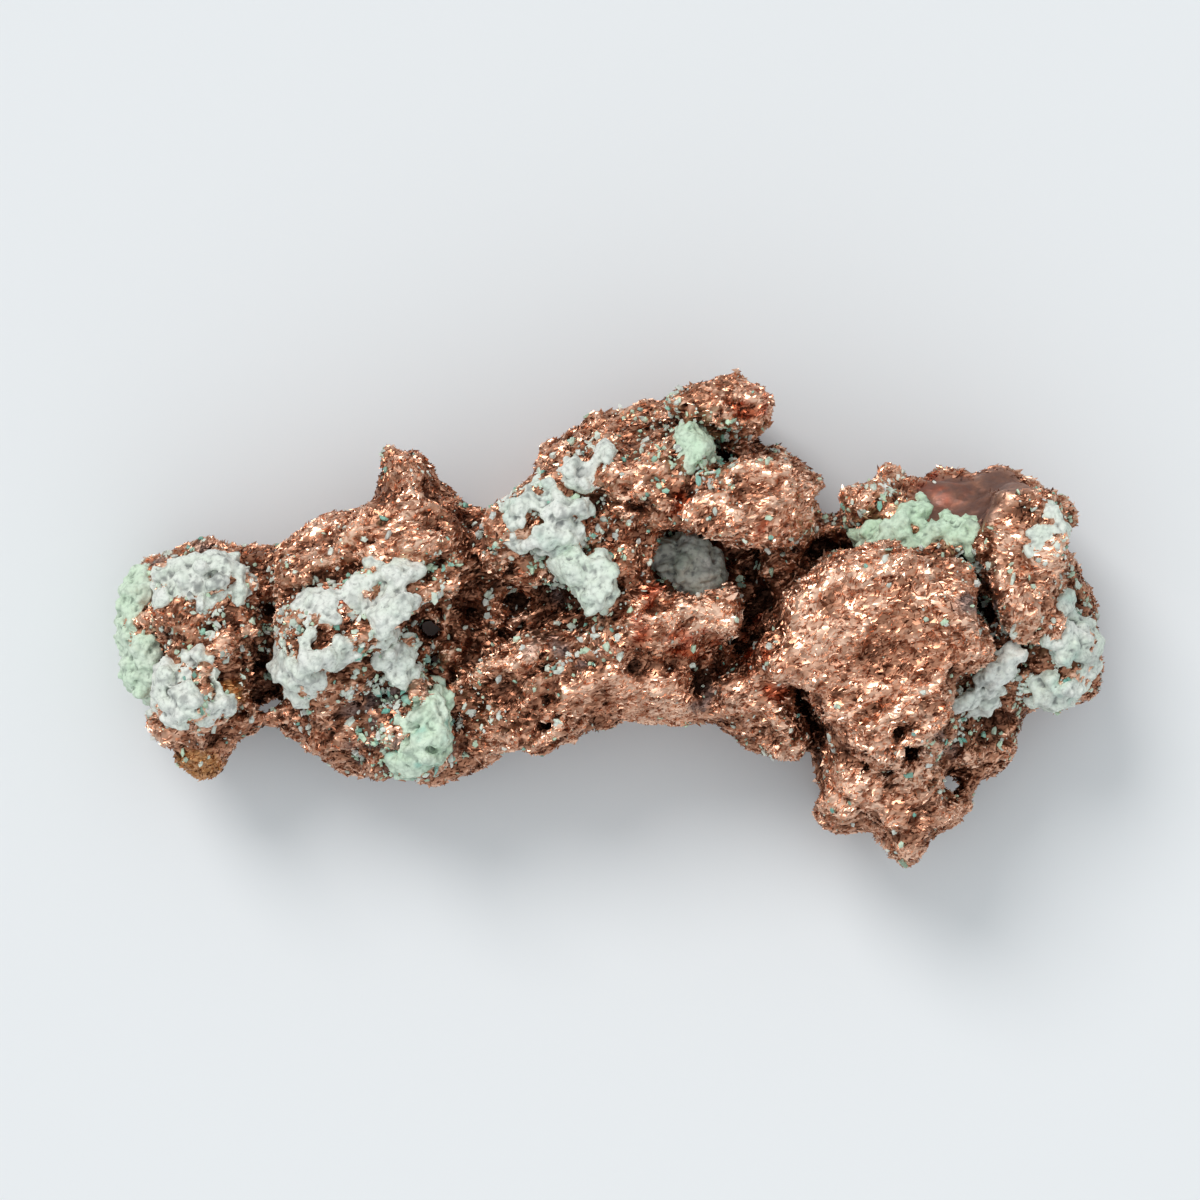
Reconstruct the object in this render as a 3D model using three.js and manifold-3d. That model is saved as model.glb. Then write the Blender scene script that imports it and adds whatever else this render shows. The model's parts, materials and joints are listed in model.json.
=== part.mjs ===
// Native copper nugget, lying as found: one hackly mass of copper with pale mineral crusts grown on it.
// Millimetres, +Z up. The origin is the middle of the footprint, on the surface that the nugget lies on.
// Every solid is a distance field, negative inside, drawn by marching cubes and thinned to its main facets.
import * as THREE from 'three';
import { MarchingCubes } from 'three/addons/objects/MarchingCubes.js';
import { SimplifyModifier } from 'three/addons/modifiers/SimplifyModifier.js';
import { mergeVertices } from 'three/addons/utils/BufferGeometryUtils.js';
import { ImprovedNoise } from 'three/addons/math/ImprovedNoise.js';
import Module from 'manifold-3d';

const wasm = await Module();
wasm.setup();
const noise = new ImprovedNoise();

// Driving dimensions, in millimetres
const copperCell = 1;
const crustCell = 0.7;
const copperFacets = 5900;
const crustFacetsPerCell = 0.11;
const crustGap = 0.3;
const crustDepth = 2.5;
const crustEdge = 1.2;
const lowest = -2;
const highest = 27;
const massFillet = 0.7;
const hollowFillet = 0.4;
const sideHollows = { wave: 7, depth: 4.5 };
const rimGrowth = 0.1;
const swing = { wave: 8.5, height: 2.6 };
const hackle = [
  { wave: 5.5, height: 1.2 },
  { wave: 2.7, height: 0.9 },
];
const hackleLevel = 0.44;
const nodules = { wave: 2.6, height: 1.5, level: 0.4 };

// Colours and finishes
const copperMetal = new THREE.MeshStandardMaterial({ color: 0xa8694f, metalness: 1, roughness: 0.38 });
const paleCrust = new THREE.MeshStandardMaterial({ color: 0xc9d8d0, metalness: 0, roughness: 0.85 });
const greenCrust = new THREE.MeshStandardMaterial({ color: 0xb4dcbd, metalness: 0, roughness: 0.85 });

// The whole plan outline of the copper, from the left end along the top edge and back along the lower edge.
const rim = {
  outline: [[-36.8, 4.5], [-34.4, 4.7], [-33.6, 5.8], [-32.5, 6], [-31.6, 5.4], [-29.6, 5.5],
    [-28.2, 5.1], [-27.2, 5.4], [-26.6, 6.6], [-25.6, 7.6], [-23, 8], [-20.6, 8.9], [-18.9, 9.9],
    [-18.5, 11.2], [-18.5, 14], [-17, 14.2], [-16.7, 13.4], [-14.6, 13.3], [-13.6, 12.5], [-13.4, 10.8],
    [-12.9, 9.8], [-11.8, 8.2], [-10.5, 8.6], [-9.2, 10], [-7.6, 10.8], [-6.6, 12], [-5.9, 13.4],
    [-4.9, 14.8], [-3, 15.1], [-2, 16.1], [0, 15.8], [1.2, 16.7], [2.4, 16.8], [2.9, 18.2], [5, 18.7],
    [8.5, 19.7], [10.6, 19.4], [12.3, 18.7], [12.9, 17.2], [12.9, 15.6], [11.6, 15.3], [11.4, 14.3],
    [12, 13.2], [13.2, 13.1], [13.6, 14.2], [14.2, 13.2], [15.4, 12.4], [16.1, 11], [17.4, 10.4],
    [16.4, 9.4], [16.2, 8.4], [17.2, 7.8], [18.5, 8.1], [18.8, 9.2], [18.3, 10.4], [20, 11.3], [21.8, 12],
    [23.6, 12], [24.8, 11.2], [26.4, 11.9], [28.4, 11.8], [29.8, 11.4], [31.2, 12.1], [32.8, 11.6],
    [34.6, 10.2], [36.4, 9.2], [37.1, 9.7], [37.8, 9.3], [37.7, 7.6], [36.8, 7], [36, 7.2], [36.2, 6.2],
    [37.2, 5.4], [36.6, 3.8], [37.8, 2.8], [38.2, 1], [38.9, -1.6], [39.7, -3], [39.2, -4.8], [38.2, -6],
    [35.6, -7.3], [33.4, -6.8], [32.2, -8.8], [32.6, -10.4], [32.8, -11.8], [31.2, -12.4], [29, -12.2],
    [29.6, -14.4], [28.8, -15.4], [27.6, -15.9], [26.2, -17], [24.8, -19.6], [22, -18.5], [21, -17.4],
    [21.4, -16.3], [20.4, -15.6], [19.6, -16.7], [17.9, -17], [16.3, -15], [16.7, -13.6], [16.3, -11.4],
    [14.6, -11.1], [14.5, -12], [13.7, -12.4], [12.5, -10.5], [11, -9.8], [9.4, -8.6], [8.2, -7.9],
    [3.2, -7.8], [0.4, -8.2], [-2.8, -9.4], [-5.4, -11.4], [-6.8, -10.3], [-9.6, -10.3], [-10.8, -11.4],
    [-13.6, -12.4], [-15.1, -13.7], [-17, -12.7], [-19.6, -12.9], [-20.2, -11.9], [-23.4, -11.3],
    [-24.4, -10], [-26.4, -9], [-28.2, -8.5], [-29.8, -9.6], [-31.6, -11], [-33, -12.1], [-34.7, -10.6],
    [-34.3, -9.5], [-36, -9.3], [-37.3, -8.2], [-37.6, -6.8], [-36.9, -5], [-37, -2.4], [-38.2, -0.8],
    [-38.2, 0.2], [-37.2, 1.4], [-37.1, 3]],
  floor: 4, crown: 12.6, round: 2.6,
};

// Masses that stand above and below the rim. The heights hold at a mass's middle, and its slope tilts them
// by that many mm of rise for each mm along X and Y.
const masses = {
  leftEnd: {
    outline: [[-36.2, 4], [-33, 5], [-30, 4.8], [-28.6, 2], [-29, -4], [-30, -8.4], [-33, -10.6],
      [-35.6, -8.4], [-36.4, -4], [-37, 0]],
    floor: 2.4, crown: 15.8, round: 2, slope: [0.06, 0.12],
  },
  shoulder: {
    outline: [[-26.6, 5], [-25, 6.8], [-20.4, 8], [-18, 10.4], [-17.6, 13], [-14.6, 12.6], [-13.6, 9],
      [-11.4, 6], [-12.6, 2.5], [-16, 0.6], [-19, -2], [-25, -2.5], [-27, 1]],
    floor: 5, crown: 17, round: 1.6, slope: [0.08, -0.22],
  },
  belly: {
    outline: [[-25.6, -3], [-24.6, -8.6], [-22.6, -10.4], [-19, -11.4], [-15.1, -12.6], [-12.6, -10.4],
      [-13.4, -6.4], [-15.4, -4], [-17, -0.6], [-20, 1], [-24.5, 0.5]],
    floor: -1, crown: 15.6, round: 2.4, slope: [-0.04, 0.26],
  },
  middle: {
    outline: [[-12, -4.6], [-9, -1.4], [-4, -0.6], [0, -1.6], [6, -3], [11, -4.6], [10, -7.2], [3, -7],
      [-3, -8.4], [-5.4, -10], [-9, -9.4], [-12, -8]],
    floor: 2.6, crown: 15.6, round: 2.2, slope: [0.05, 0.2],
  },
  upperMiddle: {
    outline: [[-11.4, 4.6], [-10, 8], [-7, 9.8], [-5, 12.8], [-3, 14], [2, 15.6], [4.4, 12.6], [3.4, 6],
      [0.4, 2.6], [-4, 3.4], [-9, 3.6]],
    floor: -1, crown: 18.2, round: 2, slope: [0.12, -0.1],
  },
  innerLedge: {
    outline: [[-0.6, 13.6], [2, 15], [5.4, 14.8], [7.2, 12.4], [6, 10], [2.4, 9.4], [-0.4, 10.6]],
    floor: 9, crown: 20, round: 1, slope: [0.06, -0.1],
  },
  crest: {
    outline: [[1, 15.4], [3.2, 17.4], [8.4, 18.8], [12, 17.8], [12.2, 16.2], [10.6, 14.8], [8, 15.4],
      [4, 16]],
    floor: 6.4, crown: 20, round: 1.4, slope: [0.06, 0.16],
  },
  upperArm: {
    outline: [[3, 9.4], [6.6, 11.4], [11.4, 12.8], [14, 12.6], [16, 10.4], [15.6, 8], [13.4, 5.6],
      [10.4, 6.2], [6.4, 7], [4, 8]],
    floor: 13, crown: 21.2, round: 1.2, slope: [-0.1, -0.08],
  },
  topArm: {
    outline: [[19, 9.6], [21.8, 11.2], [24, 11], [25.4, 8.6], [22, 7], [19.6, 7.6]],
    floor: 6, crown: 15.6, round: 1.6, slope: [0.05, 0.1],
  },
  brownDome: {
    outline: [[25, 10.4], [28.4, 11], [31.6, 10.6], [31, 7], [28, 5.6], [25.6, 6.6]],
    floor: 4, crown: 15.8, round: 3.2, slope: [0, -0.1],
  },
  rightShoulder: {
    outline: [[28.8, 6], [29.8, 10], [32, 11], [34.6, 9.4], [35.6, 6], [35.4, 3], [34.2, -0.6],
      [32.4, -1.2], [31, 0], [29.8, 2.6]],
    floor: 6, crown: 18.8, round: 1.3, slope: [-0.14, 0.06],
  },
  hook: {
    outline: [[34, 9.8], [36.2, 9.5], [37.2, 10.1], [38.2, 9.5], [38, 7.3], [36.7, 6.7], [34.6, 7.2]],
    floor: 9.5, crown: 13.6, round: 0.8,
  },
  plate: {
    outline: [[13.6, 0], [14, 2.6], [16, 4.2], [19, 5.2], [22, 5.6], [26, 6.2], [28, 4], [28.2, 1.4],
      [30.4, -0.9], [30.4, -2.8], [27.6, -3.8], [26.4, -6.4], [27, -8.6], [25.4, -10.8], [22, -11.4],
      [18.8, -10.2], [17.2, -8], [15.6, -5.6], [11.6, -3.6], [11.6, -2.4]],
    floor: 8, crown: 20.8, round: 1.1, slope: [0.04, 0.12],
  },
  rightEnd: {
    outline: [[29.4, -3], [33, -0.4], [36.4, 1.6], [37.8, -1], [38.6, -3], [37.4, -5.4], [34, -6],
      [30.6, -5.6]],
    floor: -0.8, crown: 13.6, round: 2.2, slope: [-0.04, 0.1],
  },
  lowerLedge: {
    outline: [[26.4, -6.6], [30, -6], [31.8, -7], [31.6, -9], [31.8, -11.4], [28.4, -11.4],
      [26.4, -10.6]],
    floor: 3.4, crown: 12.6, round: 1.4,
  },
  foot: {
    outline: [[17.2, -10], [17.4, -15.4], [19.4, -15.6], [21.6, -16], [22.4, -17.6], [24.7, -18.6],
      [25.4, -16.6], [28, -14.8], [26, -12], [25.6, -9], [20, -8]],
    floor: -1.4, crown: 16, round: 1.8, slope: [0, 0.3],
  },
  archLeg: {
    outline: [[8, -6.6], [11, -8.6], [13.4, -11], [15.4, -10.2], [15.4, -7], [12.6, -4], [9, -4.4]],
    floor: 2, crown: 14.6, round: 1.6, slope: [-0.06, 0.18],
  },
  foldLip: {
    outline: [[-1.6, 0.2], [0.4, 2.6], [2.2, 3.6], [4, 2.4], [6, 1.8], [8.4, 2.9], [9.6, 2.5], [10, 1],
      [9.2, -1], [7, -2.3], [3, -2.8], [-0.6, -2]],
    floor: 8, crown: 18.4, round: 1, slope: [0.06, 0.24],
  },
};

// Openings and hollows in the copper. A floor far below the copper means a way through.
const open = 40;
const hollows = {
  cavity: {
    outline: [[2.6, 5.4], [6, 6.6], [10, 6.2], [11.6, 4.6], [10, 3], [7, 2], [4.6, 2.8]],
    floor: 8.6, crown: open, round: 0.6,
  },
  underArm: {
    outline: [[2.2, 5.6], [5, 9], [9.6, 8.8], [12.4, 6.4], [12.4, 3.8], [8, 3], [4, 3.2]],
    floor: 8.6, crown: 15, round: 1.4,
  },
  crevice: {
    outline: [[10.4, 4], [13, 3], [13.2, 0], [11.6, -2], [9.4, -3.4], [9.2, -2], [10.4, 0]],
    floor: 8, crown: open, round: 0.5,
  },
  underCrest: {
    outline: [[4.4, 15.8], [7, 16.2], [8.2, 15.2], [7.4, 14.2], [5, 14.8]],
    floor: 13, crown: open, round: 0.4,
  },
  armGap: {
    outline: [[14.4, 5.4], [15.8, 6.6], [17.4, 7], [19.6, 6.6], [20, 5.6], [17, 5.2], [15, 4]],
    floor: 9, crown: open, round: 0.5,
  },
  legCrack: {
    outline: [[13.4, -5], [15, -4.8], [17, -7.6], [17.7, -10], [16.1, -10], [14.8, -7.6]],
    floor: 7, crown: open, round: 0.5,
  },
  rimGap: {
    outline: [[28, 4], [29.6, 3.8], [31.2, 0], [30.6, -1.2], [28.8, 0.6]],
    floor: 8.6, crown: open, round: 0.5,
  },
  neckPit: {
    outline: [[-28.8, -1.6], [-26.8, -2.2], [-26.4, -6.4], [-28.2, -7.6], [-29.6, -5]],
    floor: 8, crown: open, round: 0.6,
  },
  darkValley: {
    outline: [[-13.2, 2.6], [-9, 3.4], [-5, 3], [-4.6, 0.6], [-8, -0.8], [-11.4, -3.6], [-13, -2.4]],
    floor: 11.6, crown: open, round: 0.8,
  },
  eyelet: {
    outline: [[26.1, -12.5], [27.7, -12.2], [28.5, -13.1], [27.8, -14.3], [26.7, -14.2]],
    floor: -open, crown: open, round: 0.3,
  },
};

// Round pits: their place in plan, the height of their bottom and their radius.
const pits = {
  valleyLeft: { x: -11.6, y: 0.8, floor: 8.6, radius: 1 },
  valleyRight: { x: -7.8, y: 1.4, floor: 9, radius: 1.1 },
  neck: { x: -27.6, y: 1, floor: 8.6, radius: 0.9 },
  band: { x: 7, y: -5.4, floor: 11.6, radius: 1.1 },
  plate: { x: 23.7, y: -10.2, floor: 12, radius: 1 },
  dome: { x: 27.3, y: 9, floor: 13.6, radius: 0.8 },
  upperHole: { x: -14.9, y: -0.5, floor: -open, radius: 0.85 },
  lowerHole: { x: -14.4, y: -3.1, floor: -open, radius: 0.7 },
};

// The crusts. A draped crust is a skin over the copper, as thick as its rise, between its floor and crown.
// The others are lumps between two heights.
const crusts = {
  left_end_crust: {
    outline: [[-39.2, 3.2], [-37, 4.2], [-35, 0], [-35.4, -5], [-37.6, -6.4], [-39.2, -4.8], [-39.9, 0]],
    floor: 3.4, crown: 11.6, round: 2,
  },
  left_top_crust: {
    outline: [[-36.8, 4.4], [-33, 5.2], [-30.2, 5.2], [-29, 3], [-30, 0.6], [-33, 0.2], [-36.2, 0]],
    rise: 1.8, floor: 12,
  },
  left_low_crust: {
    outline: [[-36.6, -3], [-33, -1.8], [-30.6, -3.6], [-30.2, -7.4], [-33.4, -8.8], [-36.6, -7.6]],
    rise: 1.6, floor: 9,
  },
  shoulder_crust: {
    outline: [[-27.2, -4], [-25.8, 1.2], [-22, 3], [-18.6, 5.2], [-15, 5], [-15.4, 0.8], [-18, -1.6],
      [-21.2, -2.8], [-22.8, -5.4], [-25, -6.8]],
    rise: 2, floor: 12,
  },
  belly_crust: {
    outline: [[-18, -8], [-16.6, -5], [-14.4, -4.6], [-12.4, -7], [-12.8, -10.6], [-15, -13],
      [-18, -12.6]],
    rise: 1.5, floor: 8,
  },
  slit_crust: {
    outline: [[-18.6, -2.2], [-16.6, -1.6], [-15.5, -2.8], [-15.3, -4.6], [-17, -5.4], [-18.8, -4]],
    rise: 1.6, floor: 11,
  },
  saddle_crust: {
    outline: [[-9.8, 8.6], [-7.6, 10.6], [-5, 11.4], [-2, 9.8], [-1.4, 7.2], [-3.6, 5.2], [-6, 5.4],
      [-9.2, 6.2]],
    rise: 2.2, floor: 12,
  },
  tongue_crust: {
    outline: [[-5.2, 5.4], [-1.6, 5.8], [0.8, 5], [0.2, 2.4], [-1.4, 0.4], [-3, 3]],
    rise: 1.4, floor: 14,
  },
  ledge_crust: {
    outline: [[-5.2, 11.9], [-2.6, 13.4], [0.2, 14], [-0.2, 11.8], [-2, 10.5], [-4, 10.9]],
    rise: 1.5, floor: 13,
  },
  crest_crust: {
    outline: [[4.4, 15.6], [7.4, 15.6], [8.2, 13.4], [7, 11.2], [4.2, 11.2], [5, 13.4]],
    rise: 1.1, floor: 15, green: true,
  },
  cavity_crust: {
    outline: [[3.8, 4.8], [5.6, 5.8], [7.8, 5.6], [8.2, 3.2], [6, 2.4], [4.8, 3]],
    floor: 7.6, crown: 11.6, round: 1.2,
  },
  bridge_crust: {
    outline: [[19.4, 7], [22, 8.4], [25.2, 9.8], [26.6, 8], [29, 8], [29, 4.8], [27.4, 5.8], [23.6, 5.8],
      [20.2, 5.2]],
    rise: 1.6, floor: 10.5, crown: 17.6, green: true,
  },
  shoulder_face_crust: {
    outline: [[32.2, 6.8], [33.4, 8.8], [34.4, 10], [36, 7], [35.6, 4.8], [33, 4.8]],
    rise: 1.2, floor: 15,
  },
  plate_edge_crust: {
    outline: [[25.6, -5.8], [28.4, -4.2], [30.6, -2.6], [32.6, -1.4], [32.6, -4.4], [30.6, -6.8],
      [28, -7.2]],
    rise: 2, floor: 10.5, crown: 17,
  },
  right_end_crust: {
    outline: [[33.8, 2.2], [36, 3.2], [36.8, 0.4], [39, -1], [38.8, -4.4], [36, -7], [33, -6.4],
      [33.2, -3], [34.4, -0.6]],
    rise: 2, floor: 7, crown: 17,
  },
};

// Signed distance in plan from an outline, negative inside it.
function outlineDistance(outline, x, y) {
  let nearest = Infinity;
  let inside = false;
  for (let i = 0, j = outline.length - 1; i < outline.length; j = i++) {
    const [ax, ay] = outline[i];
    const [bx, by] = outline[j];
    const ex = bx - ax;
    const ey = by - ay;
    const along = THREE.MathUtils.clamp(((x - ax) * ex + (y - ay) * ey) / (ex * ex + ey * ey), 0, 1);
    nearest = Math.min(nearest, Math.hypot(x - ax - along * ex, y - ay - along * ey));
    if (ay > y !== by > y && x < ax + (ex * (y - ay)) / ey) inside = !inside;
  }
  return inside ? -nearest : nearest;
}

const planBoxes = new Map();

// The box of an outline in plan, kept from one call to the next.
function planBox(outline) {
  if (!planBoxes.has(outline)) {
    planBoxes.set(outline, new THREE.Box2().setFromPoints(outline.map(([x, y]) => new THREE.Vector2(x, y))));
  }
  return planBoxes.get(outline);
}

// The room that the copper takes: its rim in plan, with a margin, between its lowest and highest masses.
const margin = 1;
const copperBox = new THREE.Box3(
  new THREE.Vector3(planBox(rim.outline).min.x - margin, planBox(rim.outline).min.y - margin, lowest),
  new THREE.Vector3(planBox(rim.outline).max.x + margin, planBox(rim.outline).max.y + margin, highest),
);

// A rounded cake: a plan outline between two heights, with its edges rounded, drawn in by inset and lifted.
function cake({ outline, floor, crown, round, slope = [0, 0] }, p, inset = 0, lift = 0) {
  const { min, max } = planBox(outline);
  const tilt = slope[0] * (p.x - (min.x + max.x) / 2) + slope[1] * (p.y - (min.y + max.y) / 2);
  const out = outlineDistance(outline, p.x, p.y) + inset + round;
  const up = Math.abs(p.z - (floor + crown) / 2 - tilt - lift) - (crown - floor) / 2 + round;
  return Math.min(Math.max(out, up), 0) + Math.hypot(Math.max(out, 0), Math.max(up, 0)) - round;
}

function pit({ x, y, floor, radius }, p) {
  return Math.hypot(p.x - x, p.y - y, Math.min(p.z - floor - radius, 0)) - radius;
}

// Smallest of two distances, with a fillet where they meet.
function filletMin(a, b, fillet) {
  const near = Math.max(fillet - Math.abs(a - b), 0) / fillet;
  return Math.min(a, b) - (near * near * fillet) / 4;
}

function noiseAt(p, wave, shift) {
  return noise.noise(p.x / wave + shift, p.y / wave - shift, p.z / wave + shift / 2);
}

// Sharp-crested relief of hackly metal: it stands proud along the lines where each noise crosses zero.
function hackleAt(p) {
  let relief = 0;
  for (const { wave, height } of hackle) {
    relief += height * (hackleLevel - 2 * Math.abs(noiseAt(p, wave, 11)));
  }
  return relief;
}

// Rounded relief of a crust: swellings that meet in creases.
function nodulesAt(p) {
  return nodules.height * (2 * Math.abs(noiseAt(p, nodules.wave, 31)) - nodules.level);
}

// The copper: the rim with hollows in its sides, the masses with swinging tops, the relief and the openings.
function copperDistance(p) {
  const lift = swing.height * noise.noise(p.x / swing.wave, p.y / swing.wave, 0.5);
  const inset = sideHollows.depth * Math.max(noiseAt(p, sideHollows.wave, 5), 0);
  let distance = cake(rim, p, inset - rimGrowth, lift);
  for (const mass of Object.values(masses)) {
    distance = filletMin(distance, cake(mass, p, 0, lift / 2), massFillet);
  }
  distance -= hackleAt(p);
  for (const hollow of Object.values(hollows)) {
    distance = -filletMin(-distance, cake(hollow, p), hollowFillet);
  }
  for (const hole of Object.values(pits)) distance = Math.max(distance, -pit(hole, p));
  return distance;
}

// A crust: a skin as thick as its rise over the copper, thin at its edge, or a lump between given heights.
function crustDistance(crust, p) {
  if (crust.rise === undefined) return cake(crust, p) - nodulesAt(p) / 2;
  const inset = -outlineDistance(crust.outline, p.x, p.y);
  const swell = Math.sqrt(THREE.MathUtils.clamp(inset / crustEdge, 0, 1));
  const overCopper = copperDistance(p);
  const skin = overCopper - (crust.rise + nodulesAt(p)) * swell;
  const { floor, crown = copperBox.max.z } = crust;
  return Math.max(skin, -inset, -crustDepth - overCopper, floor - p.z, p.z - crown);
}

// The zero surface of a distance field in a box, drawn in cubes of the cell's size.
function surfaceOf(distanceAt, box, cell) {
  const reach = box.getSize(new THREE.Vector3());
  const count = Math.ceil(Math.max(reach.x, reach.y, reach.z) / cell) + 6;
  const mostTriangles = 60000;
  const cubes = new MarchingCubes(count, copperMetal, false, false, mostTriangles);
  const half = (cell * count) / 2;
  const corner = box.getCenter(new THREE.Vector3()).addScalar(-half);
  const search = box.clone().expandByScalar(2 * cell);
  const clear = 0.12 * cell;
  const p = new THREE.Vector3();
  for (let i = 0; i < cubes.field.length; i++) {
    p.set(i % count, Math.floor(i / count) % count, Math.floor(i / count ** 2));
    p.multiplyScalar(cell).add(corner);
    const distance = search.containsPoint(p) ? distanceAt(p) : cell;
    cubes.field[i] = -(Math.abs(distance) < clear ? clear * (distance < 0 ? -1 : 1) : distance);
  }
  cubes.isolation = 0;
  cubes.update();
  const drawn = cubes.positionArray.slice(0, 3 * cubes.count);
  const geometry = new THREE.BufferGeometry().setAttribute('position', new THREE.BufferAttribute(drawn, 3));
  geometry.translate(1, 1, 1).scale(half, half, half).translate(corner.x, corner.y, corner.z);
  return mergeVertices(geometry, 1e-3);
}

// The same surface with fewer triangles, kept where it bends most.
async function thinned(geometry, triangles) {
  const kept = Math.min(1, (3 * triangles) / geometry.index.count);
  const removed = Math.floor((1 - kept) * geometry.getAttribute('position').count);
  return new SimplifyModifier().modify(geometry, removed);
}

function solidFrom(geometry) {
  return new wasm.Manifold(new wasm.Mesh({
    numProp: 3,
    vertProperties: new Float32Array(geometry.getAttribute('position').array),
    triVerts: new Uint32Array(geometry.index.array),
  }));
}

function geometryFrom(solid) {
  const { vertProperties, triVerts } = solid.getMesh();
  const geometry = new THREE.BufferGeometry();
  geometry.setAttribute('position', new THREE.BufferAttribute(vertProperties, 3));
  geometry.setIndex(new THREE.BufferAttribute(triVerts, 1));
  return geometry;
}

// The largest single body of a solid, without crumbs that a cut has parted from it.
function wholePiece(solid) {
  return solid.decompose().reduce((a, b) => (a.volume() > b.volume() ? a : b));
}

// A surface moved outwards by a gap along its normals.
function grown(geometry, gap) {
  const moved = geometry.clone();
  moved.computeVertexNormals();
  const position = moved.getAttribute('position');
  const normal = moved.getAttribute('normal');
  position.array.forEach((value, i) => { position.array[i] = value + gap * normal.array[i]; });
  moved.deleteAttribute('normal');
  return moved;
}

// The block below the surface that the nugget lies on.
function ground() {
  const side = 4 * copperBox.max.x;
  const block = new THREE.BoxGeometry(side, side, side).translate(0, 0, -side / 2);
  block.deleteAttribute('normal');
  block.deleteAttribute('uv');
  return solidFrom(mergeVertices(block));
}

// The copper, with its lowest bumps worn flat where it rests.
async function copperSolid() {
  const whole = await thinned(surfaceOf(copperDistance, copperBox, copperCell), copperFacets);
  return wholePiece(solidFrom(whole).subtract(ground()));
}

async function crustSolid(crust, cutter) {
  const { min, max } = planBox(crust.outline);
  const box = new THREE.Box3(
    new THREE.Vector3(min.x - margin, min.y - margin, crust.floor - margin),
    new THREE.Vector3(max.x + margin, max.y + margin, crust.crown ?? copperBox.max.z),
  );
  const surface = surfaceOf((p) => crustDistance(crust, p), box, crustCell);
  const skin = await thinned(surface, (crustFacetsPerCell * surface.index.count) / 3);
  return wholePiece(solidFrom(skin).subtract(cutter));
}

const nugget = new THREE.Group();

const bareCopper = await copperSolid();
const copper = new THREE.Mesh(geometryFrom(bareCopper), copperMetal);
copper.name = 'copper';
nugget.add(copper);

const copperWithGap = solidFrom(grown(copper.geometry, crustGap)).add(bareCopper);
for (const [name, crust] of Object.entries(crusts)) {
  const solid = await crustSolid(crust, copperWithGap);
  const mesh = new THREE.Mesh(geometryFrom(solid), crust.green ? greenCrust : paleCrust);
  mesh.name = name;
  nugget.add(mesh);
}

// The origin goes to the middle of the footprint.
const whole = new THREE.Box3().setFromObject(nugget);
const middle = whole.getCenter(new THREE.Vector3());
nugget.children.forEach((mesh) => mesh.position.set(-middle.x, -middle.y, -whole.min.z));

export default nugget;
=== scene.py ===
# Native copper nugget: hackly copper with pale mineral crusts, lying on a pale floor
import json

import bmesh
import bpy
import numpy as np
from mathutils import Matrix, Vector

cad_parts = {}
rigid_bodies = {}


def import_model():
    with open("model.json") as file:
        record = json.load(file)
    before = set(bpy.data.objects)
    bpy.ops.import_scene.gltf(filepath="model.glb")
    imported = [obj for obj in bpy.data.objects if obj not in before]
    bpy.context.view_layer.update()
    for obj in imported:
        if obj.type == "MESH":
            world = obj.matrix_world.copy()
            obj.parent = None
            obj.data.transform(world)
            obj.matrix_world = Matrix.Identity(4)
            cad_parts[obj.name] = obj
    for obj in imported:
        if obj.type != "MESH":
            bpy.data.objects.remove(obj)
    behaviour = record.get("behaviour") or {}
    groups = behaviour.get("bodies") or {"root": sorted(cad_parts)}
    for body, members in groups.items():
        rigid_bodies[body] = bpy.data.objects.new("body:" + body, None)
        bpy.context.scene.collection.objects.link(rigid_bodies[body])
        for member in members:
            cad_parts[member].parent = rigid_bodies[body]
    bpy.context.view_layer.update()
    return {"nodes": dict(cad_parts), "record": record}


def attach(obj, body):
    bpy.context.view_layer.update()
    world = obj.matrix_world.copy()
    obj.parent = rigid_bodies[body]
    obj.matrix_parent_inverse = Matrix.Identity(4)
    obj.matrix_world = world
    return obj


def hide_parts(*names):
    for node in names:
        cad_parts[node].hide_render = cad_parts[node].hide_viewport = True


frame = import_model()
mm = 0.001  # the arrays below are in millimetres, the meshes in metres
dice = np.random.default_rng(29)
print("frame loaded:", len(frame["nodes"]), "nodes")


# noise and masks, worked out for whole arrays of points

def cornerHash(cell, seed):
    # a number from 0 to 255 for each lattice corner, mixed from its whole coordinates
    x, y, z = cell.T
    mixed = (x * 73856093) ^ (y * 19349663) ^ (z * 83492791) ^ (seed * 2654435)
    mixed = (mixed ^ (mixed >> 13)) * 1274126177
    return (mixed >> 7) & 255


hashTable = np.random.default_rng(7).normal(size=(256, 3))
hashTable /= np.linalg.norm(hashTable, axis=1, keepdims=True)


def noiseField(points, wave, seed):
    # gradient noise: each lattice corner has a slope, and the eight round a point blend by a smooth step
    q = points / wave
    cell = np.floor(q).astype(np.int64)
    part = q - cell
    blend = part ** 3 * (part * (part * 6 - 15) + 10)
    total = np.zeros(len(points))
    for corner in np.ndindex(2, 2, 2):
        step = np.array(corner)
        slope = hashTable[cornerHash(cell + step, seed)]
        weight = np.prod(np.where(step, blend, 1 - blend), axis=1)
        total += weight * np.sum(slope * (part - step), axis=1)
    return total


def noiseVector(points, wave, seed):
    return np.stack([noiseField(points, wave, seed + k) for k in range(3)], axis=1)


def ridgeField(points, wave, seed):
    # one less 2.6 times the size of the noise: sharp crests where it crosses zero, round valleys between
    return 1 - 2.6 * np.abs(noiseField(points, wave, seed))


def cellField(points, size, seed):
    # distance to the nearest of the seeds that stand one in each cube of the given size, in cube sides
    q = points / size
    cell = np.floor(q).astype(np.int64)
    nearest = np.full(len(points), 9.0)
    for step in np.ndindex(3, 3, 3):
        cube = cell + np.array(step) - 1
        place = cube + 0.5 + 0.45 * hashTable[cornerHash(cube, seed)]
        nearest = np.minimum(nearest, np.linalg.norm(q - place, axis=1))
    return nearest


def smoothStep(value, low, high):
    t = np.clip((value - low) / (high - low), 0, 1)
    return t * t * (3 - 2 * t)


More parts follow.
